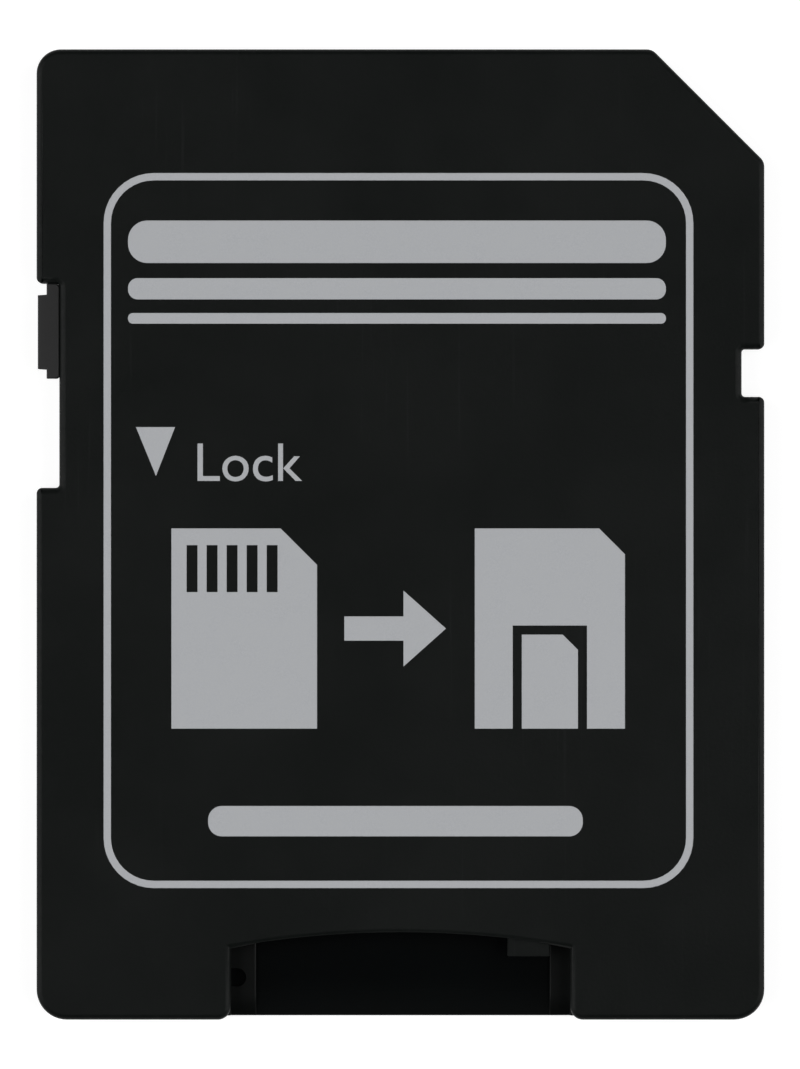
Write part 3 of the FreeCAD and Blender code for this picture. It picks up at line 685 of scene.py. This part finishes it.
PICTURE_LOW = -6.4
PICTURE_HIGH = 0.2
SMALL_CARD = (-7.55, -2.75)
SMALL_CARD_CUT = 1.2
PAD_GAPS = 5
PAD_GAP_FIRST = -7.05
PAD_GAP_PITCH = 0.66
PAD_GAP_WIDTH = 0.36
PAD_GAP_LOW = -1.9
PAD_GAP_HIGH = -0.35
small_card_ink = bmesh.new()
card_field(small_card_ink, *SMALL_CARD, PICTURE_LOW, PICTURE_HIGH, SMALL_CARD_CUT)
for count in range(PAD_GAPS):
    gap_left = PAD_GAP_FIRST + PAD_GAP_PITCH * count
    knock_out(small_card_ink, gap_left, gap_left + PAD_GAP_WIDTH, PAD_GAP_LOW, PAD_GAP_HIGH)
print_ink("small_card_picture", small_card_ink)

WAY_IN = (
    (-1.85, -3.5),
    (0.1, -3.5),
    (0.1, -4.35),
    (1.5, -3.1),
    (0.1, -1.85),
    (0.1, -2.7),
    (-1.85, -2.7),
)
print_polygon("way_in_arrow", WAY_IN)

ADAPTER = (2.45, 7.4)
ADAPTER_CUT = 0.85
BAY = (3.7, 6.15)
BAY_TOP = -3.0
PAST_EDGE = 1.0
HELD_CARD = (4.0, 5.85)
HELD_CARD_TOP = -3.3
HELD_CARD_CUT = 0.5
adapter_ink = bmesh.new()
card_field(adapter_ink, *ADAPTER, PICTURE_LOW, PICTURE_HIGH, ADAPTER_CUT)
knock_out(adapter_ink, *BAY, PICTURE_LOW - PAST_EDGE, BAY_TOP)
print_ink("adapter_picture", adapter_ink)
held_card_ink = bmesh.new()
card_field(held_card_ink, *HELD_CARD, PICTURE_LOW, HELD_CARD_TOP, HELD_CARD_CUT)
print_ink("held_card_picture", held_card_ink)

# Stage: a pale table, two tall soft lamps at the sides and a camera straight above the card.
# The table shows white to the camera and still takes the card's shadow.
FLOOR_SIZE = 4.0
WHITE = (1.0, 1.0, 1.0, 1.0)
TABLE_GREY = (0.42, 0.42, 0.42, 1.0)
TABLE_GLOW = 0.78
floor_mesh = bpy.data.meshes.new("table")
floor_bm = bmesh.new()
bmesh.ops.create_grid(floor_bm, x_segments=1, y_segments=1, size=FLOOR_SIZE / 2)
floor_bm.to_mesh(floor_mesh)
floor_bm.free()
floor = bpy.data.objects.new("table", floor_mesh)
bpy.context.scene.collection.objects.link(floor)


def ray_masks(tree):
    """Two masks: 1 for rays from the camera, and 1 for rays by way of something shiny or clear."""
    path = tree.nodes.new("ShaderNodeLightPath").outputs
    mirrored = combine(tree, "MAXIMUM", path["Is Glossy Ray"], path["Is Transmission Ray"])
    return path["Is Camera Ray"], mirrored


def table_white():
    material = bpy.data.materials.new("white_table")
    material.use_nodes = True
    tree = material.node_tree
    tree.nodes.clear()
    matt = add_node(tree, "ShaderNodeBsdfDiffuse", Color=TABLE_GREY).outputs["BSDF"]
    glow = add_node(tree, "ShaderNodeEmission", Color=WHITE, Strength=TABLE_GLOW)
    lit = tree.nodes.new("ShaderNodeAddShader")
    tree.links.new(matt, lit.inputs[0])
    tree.links.new(glow.outputs["Emission"], lit.inputs[1])
    chosen = tree.nodes.new("ShaderNodeMixShader")
    tree.links.new(combine(tree, "MAXIMUM", *ray_masks(tree)), chosen.inputs["Fac"])
    tree.links.new(matt, chosen.inputs[1])
    tree.links.new(lit.outputs[0], chosen.inputs[2])
    result = tree.nodes.new("ShaderNodeOutputMaterial")
    tree.links.new(chosen.outputs[0], result.inputs["Surface"])
    return material


floor_mesh.materials.append(table_white())

SIDE_FILL = 0.22
CEILING = 0.05
SIDEWAYS_FROM = 0.45
SIDEWAYS_TO = 0.9
BACKDROP_FULL = 0.08
BACKDROP_END = 0.2
world = bpy.data.worlds.new("studio")
bpy.context.scene.world = world
world.use_nodes = True
air = world.node_tree
air.nodes.clear()
heading = axes(air, add_node(air, "ShaderNodeTexCoord").outputs["Generated"])
sideways = add_node(air, "ShaderNodeMath", {"operation": "ABSOLUTE"})
air.links.new(heading["X"], sideways.inputs[0])
level = remap(air, sideways.outputs[0], SIDEWAYS_FROM, SIDEWAYS_TO, CEILING, SIDE_FILL)
dim = add_node(air, "ShaderNodeBackground", Color=WHITE, Strength=level)
white = add_node(air, "ShaderNodeBackground", Color=WHITE, Strength=1.0)
low_down = remap(air, heading["Z"], BACKDROP_FULL, BACKDROP_END, 1.0, 0.0)
direct, mirrored = ray_masks(air)
shown = combine(air, "MAXIMUM", direct, combine(air, "MULTIPLY", mirrored, low_down))
backdrop = air.nodes.new("ShaderNodeMixShader")
air.links.new(shown, backdrop.inputs["Fac"])
air.links.new(dim.outputs["Background"], backdrop.inputs[1])
air.links.new(white.outputs["Background"], backdrop.inputs[2])
sky = air.nodes.new("ShaderNodeOutputWorld")
air.links.new(backdrop.outputs[0], sky.inputs["Surface"])

LAMP_SIDE = 0.42
LAMP_HEIGHT = 0.38
LAMP_WIDTH = 0.36
LAMP_LENGTH = 0.8
LAMP_POWER = 2.7
for side, name in ((-1, "left_softbox"), (1, "right_softbox")):
    lamp = bpy.data.lights.new(name, "AREA")
    lamp.shape = "RECTANGLE"
    lamp.size = LAMP_WIDTH
    lamp.size_y = LAMP_LENGTH
    lamp.energy = LAMP_POWER
    holder = bpy.data.objects.new(name, lamp)
    bpy.context.scene.collection.objects.link(holder)
    holder.location = (side * LAMP_SIDE, 0.0, LAMP_HEIGHT)
    holder.rotation_euler = Vector(holder.location).to_track_quat("Z", "Y").to_euler()

LENS = 500.0
SENSOR = 36.0
VIEW_HEIGHT = 35.24 * MM
VIEW_MIDDLE = -0.015 * MM
NEAREST = 0.01
FARTHEST = 10.0
eye = bpy.data.cameras.new("camera")
eye.lens = LENS
eye.sensor_width = SENSOR
eye.clip_start = NEAREST
eye.clip_end = FARTHEST
camera = bpy.data.objects.new("camera", eye)
bpy.context.scene.collection.objects.link(camera)
camera.location = (VIEW_MIDDLE, 0.0, FACE_LEVEL + VIEW_HEIGHT * LENS / SENSOR)
bpy.context.scene.camera = camera
bpy.context.scene.view_settings.view_transform = "Standard"
